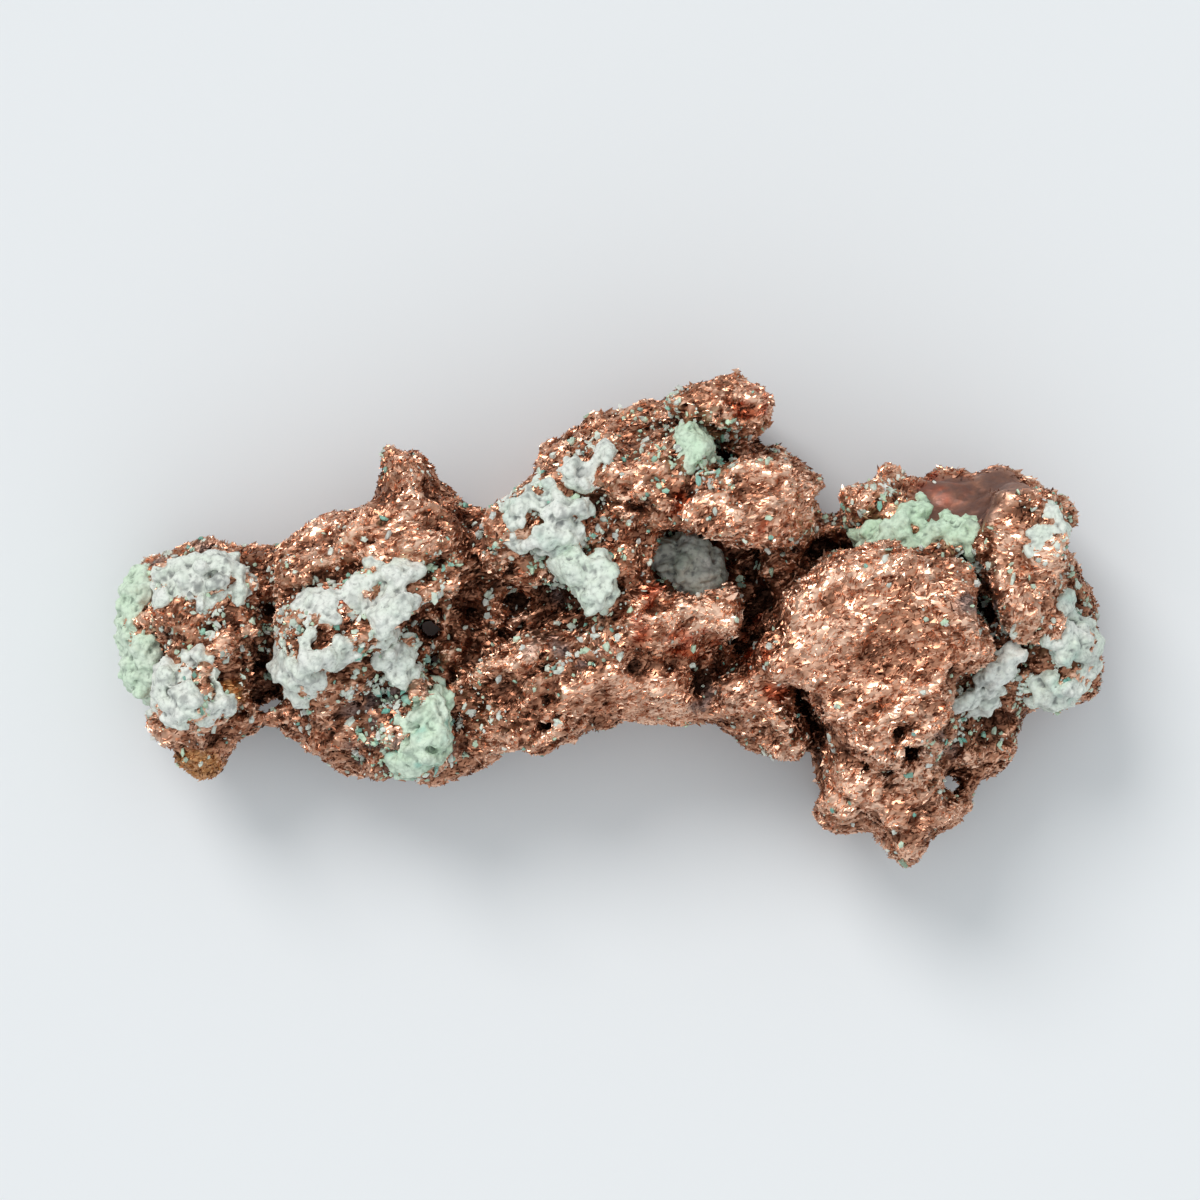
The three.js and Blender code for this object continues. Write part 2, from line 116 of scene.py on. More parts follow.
def spot(points, middle, reach):
    # 1 inside an oval in plan, falling smoothly to 0 at its edge
    away = np.hypot((points[:, 0] - middle[0]) / reach[0], (points[:, 1] - middle[1]) / reach[1])
    return smoothStep(1.15 - away, 0, 0.45)


# meshes from arrays and back

def mergedCopy(node):
    # a copy of a node's mesh with its doubled corners merged
    work = bmesh.new()
    work.from_mesh(frame["nodes"][node].data)
    bmesh.ops.remove_doubles(work, verts=work.verts, dist=1e-7)
    mesh = bpy.data.meshes.new(node + "_work")
    work.to_mesh(mesh)
    work.free()
    return mesh


def remeshed(mesh, voxel):
    # the mesh drawn again as even quads of about the voxel's size, in millimetres
    thing = bpy.data.objects.new("work", mesh)
    bpy.context.scene.collection.objects.link(thing)
    skin = thing.modifiers.new("voxels", "REMESH")
    skin.mode = "VOXEL"
    skin.voxel_size = voxel * mm
    made = modifiedMesh(thing)
    bpy.data.meshes.remove(mesh)
    return made


def readPoints(mesh):
    flat = np.empty(3 * len(mesh.vertices))
    mesh.vertices.foreach_get("co", flat)
    return flat.reshape(-1, 3) / mm


def writePoints(mesh, points):
    mesh.vertices.foreach_set("co", (points * mm).ravel())
    mesh.update()


def readNormals(mesh):
    flat = np.empty(3 * len(mesh.vertices))
    mesh.vertex_normals.foreach_get("vector", flat)
    return flat.reshape(-1, 3)


def readEdges(mesh):
    flat = np.empty(2 * len(mesh.edges), np.int32)
    mesh.edges.foreach_get("vertices", flat)
    return flat.reshape(-1, 2)


def readTriangles(mesh):
    mesh.calc_loop_triangles()
    flat = np.empty(3 * len(mesh.loop_triangles), np.int32)
    mesh.loop_triangles.foreach_get("vertices", flat)
    return flat.reshape(-1, 3)


def meshFrom(name, points, faces):
    # one mesh from an array of points in millimetres and an array of faces with equal corner counts
    mesh = bpy.data.meshes.new(name)
    sides = faces.shape[1]
    mesh.vertices.add(len(points))
    mesh.vertices.foreach_set("co", (points * mm).ravel())
    mesh.loops.add(faces.size)
    mesh.loops.foreach_set("vertex_index", faces.ravel().astype(np.int32))
    mesh.polygons.add(len(faces))
    mesh.polygons.foreach_set("loop_start", np.arange(0, faces.size, sides, dtype=np.int32))
    mesh.update(calc_edges=True)
    return mesh


def smoothed(values, edges, rounds, strength=0.5):
    # each value moves part of the way to the mean of its neighbours, round after round
    first, second = edges.T
    size = len(values)
    count = np.maximum(np.bincount(edges.ravel(), minlength=size), 1)
    columns = values.reshape(size, -1).T.copy()
    for _ in range(rounds):
        for k, column in enumerate(columns):
            total = np.bincount(first, column[second], size) + np.bincount(second, column[first], size)
            columns[k] = column + strength * (total / count - column)
    return columns.T.reshape(values.shape)


def depthBelow(points, normals, edges, rounds):
    # how far each point lies, along its normal, below the surface eased by so many rounds
    return np.sum((smoothed(points, edges, rounds) - points) * normals, axis=1)


def aboveFloor(points):
    # points that would lie under the floor are lifted onto it
    points[..., 2] = np.maximum(points[..., 2], 0)
    return points


def modifiedMesh(thing):
    # a new mesh with the object's modifiers applied; the object goes
    made = bpy.data.meshes.new_from_object(thing.evaluated_get(bpy.context.evaluated_depsgraph_get()))
    bpy.data.objects.remove(thing)
    return made


def writeMask(mesh, name, values):
    mesh.attributes.new(name, "FLOAT", "POINT").data.foreach_set("value", values.astype(np.float32))


def finishPiece(name, mesh, material, smooth=True):
    mesh.materials.clear()
    mesh.materials.append(material)
    mesh.polygons.foreach_set("use_smooth", np.full(len(mesh.polygons), smooth))
    piece = bpy.data.objects.new(name, mesh)
    bpy.context.scene.collection.objects.link(piece)
    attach(piece, "root")
    return piece


def triangleCount(mesh):
    mesh.calc_loop_triangles()
    return len(mesh.loop_triangles)


# shader nodes

def addNode(tree, kind, values=None, **settings):
    made = tree.nodes.new("ShaderNode" + kind)
    for key, value in settings.items():
        setattr(made, key, value)
    for socket, value in (values or {}).items():
        made.inputs[socket].default_value = value
    return made


def mixColours(tree, factor, first, second):
    # first and second are a colour or a socket, factor is a socket
    mix = addNode(tree, "Mix", data_type="RGBA")
    tree.links.new(factor, mix.inputs["Factor"])
    for socket, value in ((mix.inputs[6], first), (mix.inputs[7], second)):
        if isinstance(value, tuple):
            socket.default_value = value + (1,)
        else:
            tree.links.new(value, socket)
    return mix.outputs[2]


def mathNode(tree, operation, first, second, clamp=False):
    made = addNode(tree, "Math", operation=operation, use_clamp=clamp)
    for socket, value in ((made.inputs[0], first), (made.inputs[1], second)):
        if isinstance(value, (int, float)):
            socket.default_value = value
        else:
            tree.links.new(value, socket)
    return made.outputs[0]


def rampOf(tree, factor, stops):
    ramp = addNode(tree, "ValToRGB")
    points = ramp.color_ramp.elements
    while len(points) < len(stops):
        points.new(0.5)
    for point, (place, colour) in zip(points, stops):
        point.position = place
        point.color = colour + (1,)
    tree.links.new(factor, ramp.inputs[0])
    return ramp.outputs[0]


def makeMottle():
    # a mask from cloudy noise on the object's own coordinates, spread between two levels
    group = bpy.data.node_groups.new("mottle", "ShaderNodeTree")
    face = group.interface
    for name, value in (("Scale", 1000.0), ("Low", 0.4), ("High", 0.6)):
        face.new_socket(name, in_out="INPUT", socket_type="NodeSocketFloat").default_value = value
    face.new_socket("Mask", in_out="OUTPUT", socket_type="NodeSocketFloat")
    face.new_socket("Cloud", in_out="OUTPUT", socket_type="NodeSocketFloat")
    entry = group.nodes.new("NodeGroupInput")
    result = group.nodes.new("NodeGroupOutput")
    place = addNode(group, "TexCoord")
    cloud = addNode(group, "TexNoise", {"Detail": 5.0, "Roughness": 0.6})
    spread = addNode(group, "MapRange")
    group.links.new(place.outputs["Object"], cloud.inputs["Vector"])
    group.links.new(entry.outputs["Scale"], cloud.inputs["Scale"])
    group.links.new(cloud.outputs["Fac"], spread.inputs["Value"])
    group.links.new(entry.outputs["Low"], spread.inputs["From Min"])
    group.links.new(entry.outputs["High"], spread.inputs["From Max"])
    group.links.new(spread.outputs["Result"], result.inputs["Mask"])
    group.links.new(cloud.outputs["Fac"], result.inputs["Cloud"])
    return group


mottle = makeMottle()


def addMottle(tree, scale, low, high):
    made = tree.nodes.new("ShaderNodeGroup")
    made.node_tree = mottle
    for name, value in (("Scale", scale), ("Low", low), ("High", high)):
        made.inputs[name].default_value = value
    return made


def newMaterial(name):
    material = bpy.data.materials.new(name)
    material.use_nodes = True
    return material, material.node_tree, material.node_tree.nodes["Principled BSDF"]


def maskOf(tree, name):
    return addNode(tree, "Attribute", attribute_name=name, attribute_type="GEOMETRY").outputs["Fac"]


copperFinish = {
    "tones": [  # from stained to freshly worn metal; the mask that picks from it also holds painted shade and painted highlight
        (0.0, (0.080, 0.034, 0.021)),
        (0.3, (0.235, 0.098, 0.057)),
        (0.62, (0.58, 0.280, 0.170)),
        (1.0, (0.96, 0.630, 0.460)),
    ],
    # painted shade: the near-black brown laid into the hollows
    "hollow": (0.075, 0.034, 0.022),
    "red": (0.42, 0.075, 0.025),
    "dull": (0.21, 0.125, 0.105),
    "gold": (0.56, 0.27, 0.085),
    "grey": (0.20, 0.17, 0.17),
    "facetScale": (1500, 3000, 3000),   # facets to a metre, along the fibres and across them
    "facetTurn": (0, 0, -0.5),
    "facetLean": 0.9,
    "cloudScale": 1100,
    "cloudTone": 0.22,
    "fineScale": 5200,
    "roughness": (0.12, 0.5),           # least, and what the fine cloud adds
}


def addFacets(tree, scale, turn, lean):
    # the surface's normal, leaned by a random vector for each cell of a drawn-out Voronoi pattern
    place = addNode(tree, "TexCoord")
    drawn = addNode(tree, "Mapping", {"Scale": scale, "Rotation": turn})
    cells = addNode(tree, "TexVoronoi", {"Scale": 1.0})
    centred = addNode(tree, "VectorMath", {1: (0.5, 0.5, 0.5)}, operation="SUBTRACT")
    sized = addNode(tree, "VectorMath", operation="SCALE")
    tree.links.new(lean, sized.inputs["Scale"])
    surface = addNode(tree, "NewGeometry")
    leaned = addNode(tree, "VectorMath", operation="ADD")
    normal = addNode(tree, "VectorMath", operation="NORMALIZE")
    tree.links.new(place.outputs["Object"], drawn.inputs["Vector"])
    tree.links.new(drawn.outputs["Vector"], cells.inputs["Vector"])
    tree.links.new(cells.outputs["Color"], centred.inputs[0])
    tree.links.new(centred.outputs[0], sized.inputs[0])
    tree.links.new(sized.outputs[0], leaned.inputs[0])
    tree.links.new(surface.outputs["Normal"], leaned.inputs[1])
    tree.links.new(leaned.outputs[0], normal.inputs[0])
    return normal.outputs[0]


def makeCopper():
    # brown to worn metal by the tone mask, which also carries painted shade and painted highlight; painted
    # black-brown shade in the hollows; stained in places; with fine facets
    material, tree, shader = newMaterial("native_copper")
    cloud = addMottle(tree, copperFinish["cloudScale"], 0.35, 0.65)
    fine = addMottle(tree, copperFinish["fineScale"], 0.3, 0.7)
    toneShadeHighlight = mathNode(tree, "MULTIPLY_ADD", cloud.outputs["Mask"], copperFinish["cloudTone"])
    tree.links.new(maskOf(tree, "toneShadeHighlight"), toneShadeHighlight.node.inputs[2])
    colour = rampOf(tree, toneShadeHighlight, copperFinish["tones"])
    # the last mask here paints black-brown shade into the hollows; the others are stains
    for name in ("red", "gold", "grey", "dull", "hollow"):
        colour = mixColours(tree, maskOf(tree, name), colour, copperFinish[name])
    tree.links.new(colour, shader.inputs["Base Color"])
    least, added = copperFinish["roughness"]
    rough = mathNode(tree, "MULTIPLY_ADD", fine.outputs["Cloud"], added)
    rough.node.inputs[2].default_value = least
    rough = mathNode(tree, "ADD", rough, maskOf(tree, "matt"))
    tree.links.new(rough, shader.inputs["Roughness"])
    shader.inputs["Metallic"].default_value = 1.0
    lean = mathNode(tree, "MULTIPLY", maskOf(tree, "lively"), copperFinish["facetLean"])
    normal = addFacets(tree, copperFinish["facetScale"], copperFinish["facetTurn"], lean)
    tree.links.new(normal, shader.inputs["Normal"])
    return material


crustFinish = {
    # grey is the colour of the specks and dirt, and of the painted shade in creases and between grains
    "pale_crust": {"light": (0.88, 0.90, 0.84), "mint": (0.70, 0.86, 0.69), "grey": (0.19, 0.20, 0.195)},
    "green_crust": {"light": (0.83, 0.90, 0.79), "mint": (0.66, 0.87, 0.64), "grey": (0.16, 0.21, 0.16)},
}
crustSurface = {
    "teal": (0.10, 0.47, 0.39),
    "cloudScale": 700,
    "cloudMint": 0.22,
    "speckScale": 3400,
    "speckDepth": 0.3,
    "grainScale": 2300.0,     # grains to a metre, finer than those of the mesh
    "gapShadeRange": (0.5, 0.9),   # distance from a grain's middle at which the painted shade of its gap starts and is full
    # how far the painted shade between grains goes toward grey
    "gapShadeDepth": 0.35,
    "bump": {"Strength": 0.6, "Distance": 0.00016},
    "roughness": 0.78,
    "specular": 0.35,
}


def makeCrust(slot):
    # powdery mineral: white to mint and turquoise by masks, grey specks, painted grey shade in creases and
    # gaps between grains, and dirt in the crease mask
    finish = crustFinish[slot]
    surface = crustSurface
    material, tree, shader = newMaterial(slot + "_mineral")
    cloud = addMottle(tree, surface["cloudScale"], 0.40, 0.66)
    speck = addMottle(tree, surface["speckScale"], 0.56, 0.66)
    mint = mathNode(tree, "MULTIPLY_ADD", cloud.outputs["Mask"], surface["cloudMint"], clamp=True)
    tree.links.new(maskOf(tree, "mint"), mint.node.inputs[2])
    place = addNode(tree, "TexCoord")
    grains = addNode(tree, "TexVoronoi", {"Scale": surface["grainScale"]})
    tree.links.new(place.outputs["Object"], grains.inputs["Vector"])
    # painted shade in the gaps between grains, from the Voronoi distance
    start, full = surface["gapShadeRange"]
    gapShade = addNode(tree, "MapRange", {"From Min": start, "From Max": full, "To Max": surface["gapShadeDepth"]})
    tree.links.new(grains.outputs["Distance"], gapShade.inputs["Value"])
    grit = mathNode(tree, "MULTIPLY", speck.outputs["Mask"], surface["speckDepth"])
    colour = mixColours(tree, mint, finish["light"], finish["mint"])
    colour = mixColours(tree, maskOf(tree, "teal"), colour, surface["teal"])
    # grey for the specks, for the painted shade in creases (one mask with the dirt) and for the painted
    # shade between grains
    for grey in (grit, maskOf(tree, "creaseShadeAndDirt"), gapShade.outputs["Result"]):
        colour = mixColours(tree, grey, colour, finish["grey"])
    tree.links.new(colour, shader.inputs["Base Color"])
    shader.inputs["Roughness"].default_value = surface["roughness"]
    shader.inputs["Specular IOR Level"].default_value = surface["specular"]
    bump = addNode(tree, "Bump", surface["bump"], invert=True)
    tree.links.new(grains.outputs["Distance"], bump.inputs["Height"])
    tree.links.new(bump.outputs["Normal"], shader.inputs["Normal"])
    return material


copperMetal = makeCopper()
crustMineral = {slot: makeCrust(slot) for slot in crustFinish}
print("materials made")


# tools that the copper and the crusts share

def nearestDistance(points, others, reach=4.0):
    # distance to the nearest of the other points, up to a reach, in slices across the nugget's length
    found = np.full(len(points), reach)
    order = np.argsort(points[:, 0])
    for start in range(0, len(points), 1500):
        rows = order[start:start + 1500]
        part = points[rows]
        close = others[(others[:, 0] > part[0, 0] - reach) & (others[:, 0] < part[-1, 0] + reach)]
        if len(close):
            away = ((part[:, None, :] - close[None]) ** 2).sum(2).min(1)
            found[rows] = np.minimum(reach, np.sqrt(away))
    return found


def unit(vectors):
    return vectors / np.maximum(np.linalg.norm(vectors, axis=1, keepdims=True), 1e-9)


def faceAreas(points, faces):
    a, b, c = (points[faces[:, k]] for k in range(3))
    return np.linalg.norm(np.cross(b - a, c - a), axis=1) / 2


def scatter(points, faces, weight, count):
    # places spread over the triangles by area and weight: a triangle and two random shares of its sides
    share = faceAreas(points, faces) * weight
    chosen = dice.choice(len(faces), count, p=share / share.sum())
    a, b, c = (points[faces[chosen, k]] for k in range(3))
    u, v = np.sqrt(dice.random(count)), dice.random(count)
    place = a * (1 - u)[:, None] + b * (u * (1 - v))[:, None] + c * (u * v)[:, None]
    return chosen, place, unit(np.cross(b - a, c - a))


def frameOn(normal, way):
    # three unit ways at each place: along the surface nearest to the given way, across it, and out of it
    along = unit(way - normal * np.sum(way * normal, axis=1, keepdims=True))
    return np.stack([along, np.cross(normal, along), normal], axis=2)


def gridFaces(rows, columns):
    # triangles of a closed grid of rings with a pole at each end: pole, rings in order, pole
    ring = 1 + np.arange(rows * columns).reshape(rows, columns)
    after = np.roll(ring, -1, axis=1)
    low, high = ring[:-1], ring[1:]
    lowNext, highNext = after[:-1], after[1:]
    sides = [np.stack([low, lowNext, highNext], axis=2), np.stack([low, highNext, high], axis=2)]
    last = rows * columns + 1
    start = np.stack([np.zeros(columns, int), after[0], ring[0]], axis=1)
    end = np.stack([np.full(columns, last), ring[-1], after[-1]], axis=1)
    return np.vstack([start] + [s.reshape(-1, 3) for s in sides] + [end])


def blockGrains(place, normal, size, squareness, columns, rows, lean=0.5):
    # super-ellipsoids on a grid of two angles, whose cosines and sines keep their sign and take a power
    around = np.linspace(0, 2 * np.pi, columns, endpoint=False)
    upright = np.linspace(-np.pi / 2, np.pi / 2, rows + 2)[1:-1]

    def power(value):
        return np.sign(value) * np.abs(value) ** squareness

    ring = np.stack([power(np.cos(around)), power(np.sin(around)), np.ones(columns)], axis=1)
    rise = np.stack([power(np.cos(upright)), power(np.cos(upright)), power(np.sin(upright))], axis=1)
    shape = np.vstack([[0, 0, -1], (ring[None] * rise[:, None]).reshape(-1, 3), [0, 0, 1]])
    count = len(place)
    turn = frameOn(unit(normal + lean * dice.normal(size=(count, 3))), dice.normal(size=(count, 3)))
    rough = shape[None] * (1 + 0.13 * dice.normal(size=(count, len(shape), 1)))
    points = place[:, None] + np.einsum("nij,nkj->nki", turn, rough * size[:, None])
    faces = gridFaces(rows, columns)[None] + len(shape) * np.arange(count)[:, None, None]
    return points.reshape(-1, 3), faces.reshape(-1, 3)


def insideDistance(points, outline):
    # distance in plan to the nearest side of a closed outline, above zero inside it by the even-odd rule
    x, y = points[:, 0], points[:, 1]
    nearest = np.full(len(points), 99.0)
    inside = np.zeros(len(points), bool)
    for (ax, ay), (bx, by) in zip(outline, outline[1:] + outline[:1]):
        wide, tall = bx - ax, by - ay
        share = np.clip(((x - ax) * wide + (y - ay) * tall) / (wide ** 2 + tall ** 2), 0, 1)
        nearest = np.minimum(nearest, np.hypot(x - ax - share * wide, y - ay - share * tall))
        if tall:
            inside ^= ((ay > y) != (by > y)) & (x < wide * (y - ay) / tall + ax)
    return np.where(inside, nearest, -nearest)


# the copper

copperForm = {
    "drawVoxel": 0.42,      # first even drawing of the faceted solid
    "skinVoxel": 0.365,     # final mesh
    "easeRounds": 4,        # takes the facets' edges off
    "coreSwell": 0.35,      # the metal under a crust reaches this far into its bed
    "coreSink": -0.5,       # and stays this far below the crust's face
    "ridges": [(4.4, 0.8), (2.1, 0.56)],        # wave and height of the hackly ridges
    "ledges": [(4.6, 0.75), (2.3, 0.45)],       # wave and height of the steps between leaves of metal
    "fineRidges": [(1.0, 0.24), (0.62, 0.16)],
    "pits": [(2.4, 1.4), (1.3, 0.9)],           # spacing and depth of the holes, large and small
    "pitReach": 0.33,       # of a pit, in spacings
    "smoothCalm": 0.72,     # share of the ridges that the smooth places lose
    "fineCalm": {"dull": 0.85, "smooth": 0.4},  # and of the fine ridges and pits
    "flow": (0.86, 0.5, 0.1),                   # way that the metal's fibres run
    "flowStretch": 2.2,
    "dullHeights": (8.0, 11.0),
    "broadRounds": 70,
    "fineRounds": 5,
    "footClear": 0.6,       # leaves and crumbs keep this far above the floor
}

# sheets of metal that stand proud with a torn edge: rise, and outline in plan, in millimetres
copperSheets = {
    "plate": (1.3, [
        (14.0, 2.2), (17.6, 4.2), (22.4, 5.3), (25.2, 4.6), (28.0, 1.4), (30.0, -1.8), (27.6, -3.6),
        (25.6, -5.8), (27.2, -8.2), (26.4, -9.8), (23.2, -10.6), (19.2, -9.8), (16.4, -7.8),
        (13.6, -5.0), (11.2, -2.6), (12.0, -0.2),
    ]),
    "upperArm": (1.3, [
        (4.7, 8.6), (8.8, 11.8), (12.8, 13.0), (16.8, 11.0), (17.6, 9.4), (16.4, 6.2), (14.4, 4.9),
        (11.2, 5.9), (7.2, 6.8),
    ]),
    "foldLip": (1.2, [
        (4.0, 1.2), (6.4, 2.2), (10.0, 2.6), (10.6, 0.6), (10.0, -1.8), (8.0, -3.4), (4.8, -3.0),
        (1.2, -1.8), (0.0, -0.2), (1.6, 1.2),
    ]),
    "crest": (1.0, [
        (2.4, 17.0), (7.2, 19.4), (12.4, 19.2), (12.9, 15.8), (11.6, 14.2), (10.4, 11.8), (8.0, 14.6),
        (4.0, 15.6),
    ]),
    "mound": (0.8, [
        (-5.6, 12.6), (-0.8, 15.0), (3.2, 14.2), (5.6, 11.0), (4.4, 8.0), (1.2, 7.6), (-1.6, 10.0),
    ]),
    "shoulderPlate": (0.9, [
        (-27.2, 5.8), (-22.4, 8.8), (-18.8, 10.0), (-18.4, 14.2), (-13.6, 13.2), (-13.0, 9.4),
        (-14.4, 6.2), (-18.8, 5.6), (-23.2, 4.2), (-26.8, 1.6),
    ]),
    "band": (0.8, [
        (-10.2, -8.0), (-5.6, -4.4), (0.0, -3.6), (6.4, -5.0), (12.0, -5.0), (15.2, -8.2),
        (15.4, -11.8), (12.8, -10.6), (9.6, -7.8), (2.4, -7.6), (-4.0, -9.8), (-9.6, -10.2),
    ]),
    "rightKnob": (1.1, [
        (28.2, 7.6), (31.2, 11.2), (35.6, 10.4), (36.4, 4.6), (34.2, -0.2), (31.2, 0.2), (29.4, 2.6),
    ]),
    "footToe": (0.7, [
        (16.6, -11.6), (21.0, -9.8), (26.4, -11.6), (29.6, -13.8), (27.2, -16.4), (25.4, -19.4),
        (21.6, -18.2), (20.6, -15.4), (17.6, -16.6),
    ]),
    "leftRib": (0.6, [
        (-36.8, 0.4), (-33.0, 0.9), (-29.0, 1.4), (-27.8, -2.4), (-30.4, -4.2), (-33.6, -1.4),
    ]),
}

# holes right through the metal: middle and reach in plan
copperHoles = [
    ((17.3, 9.6), (1.1, 1.3)),
    ((27.4, -13.0), (0.7, 0.9)),
    ((-14.7, -0.6), (0.9, 1.1)),
    ((-14.3, -3.1), (0.7, 0.7)),
]

# places in plan, in millimetres: middle and reach of each kind of stain or form, and of the painted shadow
# and painted highlight
copperPlaces = {
    "red": [
        ((10.9, 17.3), (2.0, 1.3)), ((1.2, -0.6), (2.0, 1.7)), ((6.4, -1.6), (2.6, 1.3)),
        ((12.6, 7.4), (1.4, 0.9)), ((11.6, -1.4), (1.3, 2.8)), ((-21.5, 1.6), (2.2, 1.4)),
        ((13.0, -5.6), (1.4, 0.9)), ((3.4, 2.0), (1.6, 1.0)), ((5.0, 9.4), (1.4, 1.0)),
        ((26.4, 10.6), (2.6, 1.6)),
    ],
    "dull": [
        ((27.4, 9.5), (3.6, 2.5)), ((31.4, 11.4), (2.6, 1.4)),
    ],
    "smooth": [
        ((27.2, 9.6), (3.4, 2.4)), ((31.4, 11.4), (2.6, 1.4)), ((4.2, -6.4), (8.2, 2.0)),
        ((20.2, -1.0), (7.0, 5.6)),
    ],
    "gold": [
        ((-33.4, -11.6), (2.2, 1.4)), ((-30.4, -5.6), (1.2, 1.0)),
    ],
    "grey": [
        ((-16.8, -8.4), (5.4, 4.0)), ((29.0, 2.2), (2.4, 3.0)), ((-2.4, 3.4), (3.4, 2.4)),
        ((-35.0, 4.8), (4.2, 3.0)), ((26.4, -9.8), (2.0, 1.4)), ((7.0, -6.0), (2.0, 1.2)),
        ((-4.0, -2.4), (3.4, 2.0)),
    ],
    # painted shadow: the crevices and the recesses under ledges
    "creviceShadow": [
        ((-9.0, 0.8), (4.6, 3.2)), ((-27.8, -4.6), (1.8, 4.6)), ((10.2, 4.2), (3.2, 1.6)),
        ((17.2, 6.2), (3.4, 1.7)), ((7.2, -5.4), (2.4, 1.4)), ((12.6, 0.2), (1.4, 3.4)),
        ((15.2, -7.6), (1.3, 2.4)), ((5.2, 15.2), (2.4, 1.0)), ((29.4, 2.0), (1.0, 2.4)),
        ((23.6, -10.6), (1.2, 0.7)), ((-3.8, 2.2), (2.6, 1.2)),
    ],
    # painted highlight: the raised sheets made lighter; the next list lightens the plate and fold lip
    # further
    "sheetHighlight": [
        ((20.0, -1.0), (8.5, 7.5)), ((5.6, 0.2), (5.4, 2.6)), ((-20.6, 7.0), (7.0, 2.6)),
        ((12.0, 9.6), (5.5, 3.2)), ((21.8, -13.6), (4.4, 4.0)), ((3.2, -6.2), (8.0, 2.2)),
        ((32.6, 4.0), (3.4, 4.4)),
    ],
    "strongHighlight": [
        ((20.0, -0.6), (7.5, 6.5)), ((6.6, 0.6), (3.4, 1.6)),
    ],
    "pitted": [
        ((-9.0, 0.4), (5.4, 4.4)), ((-27.8, -3.6), (2.6, 5.6)), ((-2.6, 2.6), (4.4, 3.4)),
        ((7.6, 15.0), (5.0, 2.6)), ((23.6, -11.0), (4.0, 2.0)), ((16.6, 6.8), (4.0, 2.4)),
        ((-16.0, -7.0), (5.0, 3.4)),
    ],
}


def alongFlow(points):
    # the points squeezed along the fibres, so that noise read there is drawn out along them
    way = np.array(copperForm["flow"])
    way /= np.linalg.norm(way)
    along = points @ way
    return points - np.outer(along, way) * (1 - 1 / copperForm["flowStretch"])


def placesOf(points, name):
    # the strongest of the ovals; the dull ones fade out lower down, between the dull heights
    found = np.max([spot(points, middle, reach) for middle, reach in copperPlaces[name]], axis=0)
    return found * smoothStep(points[:, 2], *copperForm["dullHeights"]) if name == "dull" else found


def sheetRise(points):
    # the highest sheet over each point: its rise inside the outline, cut off steeply along a wandering edge
    wander = 1.1 * noiseField(points, 2.4, 15) + 1.0 * noiseField(points, 1.0, 17)
    return np.max([rise * smoothStep(insideDistance(points, outline) + wander, -0.1, 0.35)
                   for rise, outline in copperSheets.values()], axis=0)


def crustCore(node, copperCorners):
    # the metal under a crust: the crust's solid, swollen where it lies on the copper and shrunk elsewhere
    mesh = mergedCopy(node)
    points, faces = readPoints(mesh), readTriangles(mesh)
    bedded = nearestDistance(points, copperCorners) < 1.0
    grow = np.where(bedded, copperForm["coreSwell"], copperForm["coreSink"])
    return points + readNormals(mesh) * grow[:, None], faces


def joinedMesh(name, parts):
    # one mesh from pairs of points and triangles
    starts = np.cumsum([0] + [len(points) for points, faces in parts[:-1]])
    faces = np.vstack([faces + start for start, (points, faces) in zip(starts, parts)])
    return meshFrom(name, np.vstack([points for points, faces in parts]), faces)


def drawnCopper():
    # solid and cores drawn as one even skin and eased, with the sheets raised where it faces up
    solid = mergedCopy("copper")
    parts = [(readPoints(solid), readTriangles(solid))]
    parts += [crustCore(node, parts[0][0]) for node in crustNodes]
    mesh = remeshed(joinedMesh("copper_work", parts), copperForm["drawVoxel"])
    points = smoothed(readPoints(mesh), readEdges(mesh), copperForm["easeRounds"])
    writePoints(mesh, points)
    upward = smoothStep(readNormals(mesh)[:, 2], 0.0, 0.5)
    points[:, 2] += upward * sheetRise(points)
    writePoints(mesh, points)
    return remeshed(mesh, copperForm["drawVoxel"])


def layeredRidges(points, layers, seed, level):
    # ridge fields of falling size, each less a level and times its height
    return sum(height * (ridgeField(points, wave, seed + k) - level)
               for k, (wave, height) in enumerate(layers))


def layeredLedges(points, layers, seed):
    # noise fields cut off steeply near zero, so that they step up and down, each times its height
    return sum(height * (smoothStep(noiseField(points, wave, seed + k), -0.03, 0.05) - 0.5)
               for k, (wave, height) in enumerate(layers))


def ridgeCopper(mesh):
    # ridges and ledges along the normals; the ridges are higher on the walls, the ledges on top
    points, normals = readPoints(mesh), readNormals(mesh)
    calm = 1 - copperForm["smoothCalm"] * placesOf(points, "smooth")
    bent = alongFlow(points + 1.1 * noiseVector(points, 3.4, 3))
    upward = smoothStep(normals[:, 2], 0.1, 0.7)
    push = layeredRidges(bent, copperForm["ridges"], 11, 0.55)
    push = push * (1.25 - 0.25 * upward) - 0.2 * (1 - upward)
    push += (0.3 + 0.7 * upward) * layeredLedges(bent, copperForm["ledges"], 41)
    writePoints(mesh, points + normals * (push * calm)[:, None])


def pitCopper(mesh):
    # fine ridges along the normals, less pits round scattered seeds where place and noise allow them
    points = readPoints(mesh)
    smooth = placesOf(points, "smooth")
    fineCalm = copperForm["fineCalm"]
    calm = 1 - np.maximum(fineCalm["dull"] * placesOf(points, "dull"), fineCalm["smooth"] * smooth)
    bent = alongFlow(points + 0.3 * noiseVector(points, 1.2, 5))
    push = layeredRidges(bent, copperForm["fineRidges"], 31, 0.5)
    chance = 0.8 * placesOf(points, "pitted") - 0.5 * smooth + noiseField(points, 3.1, 23)
    torn = points + 0.9 * noiseVector(points, 1.0, 25)
    for k, (spacing, depth) in enumerate(copperForm["pits"]):
        holes = smoothStep(copperForm["pitReach"] - cellField(torn, spacing, 21 + k), 0, 0.16)
        push = push - depth * holes * smoothStep(chance, 0.1, 0.35) * (1 - 0.6 * smooth)
    points = points + readNormals(mesh) * (push * calm)[:, None]
    writePoints(mesh, aboveFloor(points))


